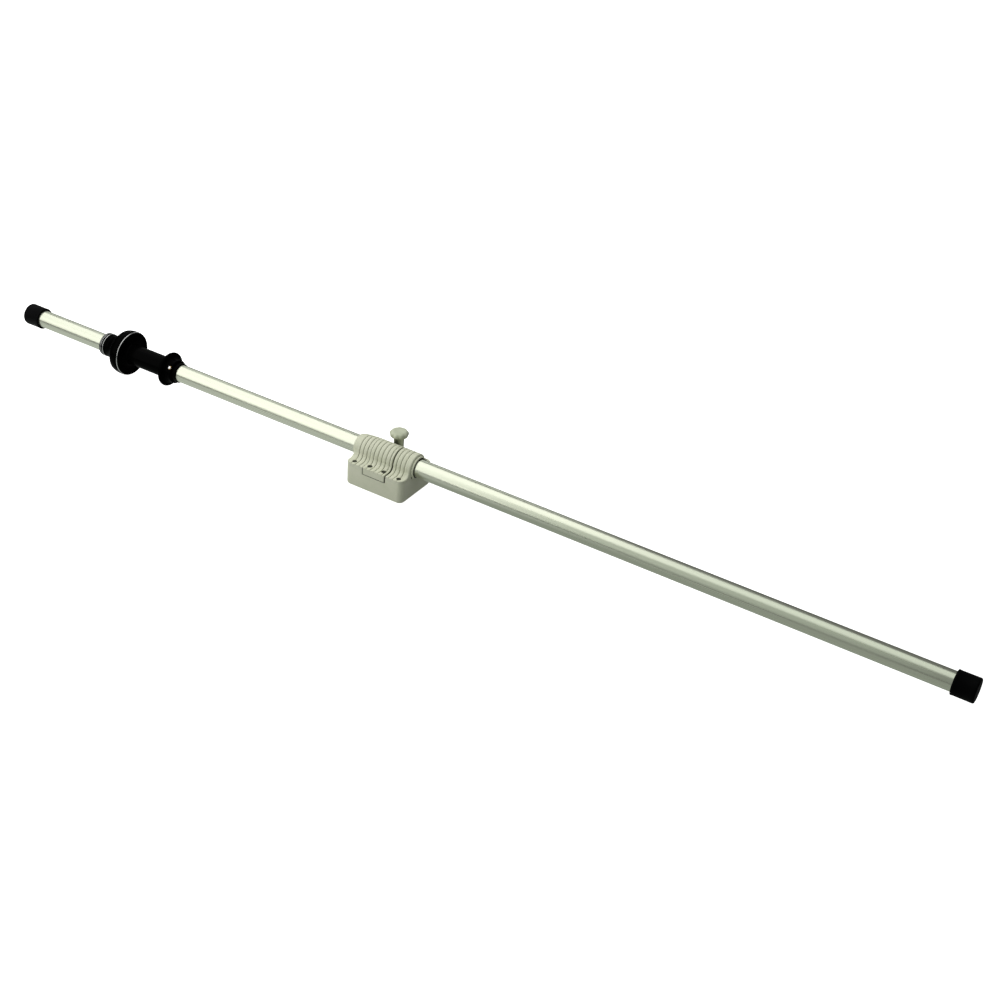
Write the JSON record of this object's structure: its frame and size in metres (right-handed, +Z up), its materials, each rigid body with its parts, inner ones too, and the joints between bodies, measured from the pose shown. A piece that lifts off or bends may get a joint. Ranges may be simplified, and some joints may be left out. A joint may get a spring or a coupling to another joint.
{
  "type": "overhead microphone boom pole",
  "caption": "Straight tubular boom pole that slides and rolls in a ribbed stand-top carriage with a thumbscrew clamp, and a flared sliding hand grip near one end.",
  "frame": {"origin": "mouth of the stand socket, in the middle of the carriage's flat underside", "axes": "+X along the pole towards its long end, +Z up, -Y is the front with the screw heads"},
  "size_m": [1.443, 0.0745, 0.0727],
  "materials": {
    "pole_aluminium": "satin anodised, fine lengthwise drawing lines",
    "cap_rubber": "moulded black rubber",
    "cast_carriage": "die-cast, grey-beige stoved paint with a fine grain",
    "cast_knob": "die-cast, grey-beige stoved paint, worn on the lobes",
    "plate_steel": "zinc-plated sheet",
    "screw_steel": "dark plated",
    "spring_steel": "spring wire",
    "socket_brass": "turned brass",
    "pad_rubber": "moulded friction pad",
    "bush_plastic": "moulded black plastic",
    "grip_black": "polished black plastic",
    "bright_ring": "polished wire",
    "bright_screw": "plated screw head",
    "liner_plastic": "natural slide plastic"
  },
  "bodies": {
    "carriage": {"base_block": "cast_carriage", "base_plate": "plate_steel", "base_plate_screws": "screw_steel", "stand_socket": "socket_brass", "saddle_pad": "pad_rubber", "left_bearing_cap": "cast_carriage", "right_bearing_cap": "cast_carriage", "bearing_cap_screws": "screw_steel", "jaw_pin": "screw_steel", "jaw_screws": "screw_steel", "jaw_spring": "spring_steel", "thumbscrew_insert": "socket_brass"},
    "jaw": {"clamp_jaw": "cast_carriage", "jaw_pad": "pad_rubber"},
    "bushes": {"left_bush": "bush_plastic", "right_bush": "bush_plastic"},
    "pole": {"pole_tube": "pole_aluminium", "left_end_cap": "cap_rubber", "right_end_cap": "cap_rubber"},
    "clamp_washer": {"thumbscrew_washer": "screw_steel"},
    "thumbscrew": {"thumbscrew_knob": "cast_knob", "thumbscrew_stud": "screw_steel"},
    "grip_liners": {"nose_liner": "liner_plastic", "hub_liner": "liner_plastic"},
    "grip": {"grip_bell": "grip_black", "bell_face_plate": "grip_black", "bell_rim_ring": "bright_ring", "nose_rings": "bright_ring", "grip_sleeve": "grip_black", "grip_hub": "grip_black", "lock_insert": "socket_brass"},
    "plunger": {"lock_plunger": "socket_brass"},
    "lock_screw": {"lock_screw": "bright_screw"}
  },
  "joints": [
    {"name": "jaw_open", "type": "hinge", "parent": "carriage", "child": "jaw", "pos_m": [0, -0.0215, 0.03015], "axis": [1, 0, 0], "range_deg": [0, 1.6], "deforming": ["jaw_spring"]},
    {"name": "pole_roll", "type": "hinge", "parent": "carriage", "child": "bushes", "pos_m": [0, 0, 0.0407], "axis": [1, 0, 0], "continuous": true},
    {"name": "pole_slide", "type": "slide", "parent": "bushes", "child": "pole", "axis": [1, 0, 0], "range_m": [-0.6, 0.15]},
    {"name": "washer_lift", "type": "slide", "parent": "carriage", "child": "clamp_washer", "axis": [0, 0, 1], "range_m": [0, 0.002]},
    {"name": "thumbscrew_turn", "type": "hinge", "parent": "clamp_washer", "child": "thumbscrew", "pos_m": [-0.003, 0.026, 0.045], "axis": [0, 0, 1], "range_deg": [0, 720]},
    {"name": "grip_slide", "type": "slide", "parent": "pole", "child": "grip_liners", "axis": [1, 0, 0], "range_m": [-0.12, 0.14]},
    {"name": "grip_turn", "type": "hinge", "parent": "grip_liners", "child": "grip", "pos_m": [-0.43, 0, 0.0407], "axis": [1, 0, 0], "continuous": true},
    {"name": "plunger_lift", "type": "slide", "parent": "grip", "child": "plunger", "axis": [0, -0.7547, 0.6561], "range_m": [0, 0.001]},
    {"name": "lock_screw_turn", "type": "hinge", "parent": "plunger", "child": "lock_screw", "pos_m": [-0.3657, 0, 0.0407], "axis": [0, -0.7547, 0.6561], "range_deg": [0, 720]}
  ],
  "couplings": [
    {"joint": "thumbscrew_turn", "follows": "washer_lift", "rad_per_m": 6283.1},
    {"joint": "jaw_open", "follows": "washer_lift", "rad_per_m": 13.961},
    {"joint": "lock_screw_turn", "follows": "plunger_lift", "rad_per_m": 12566}
  ]
}
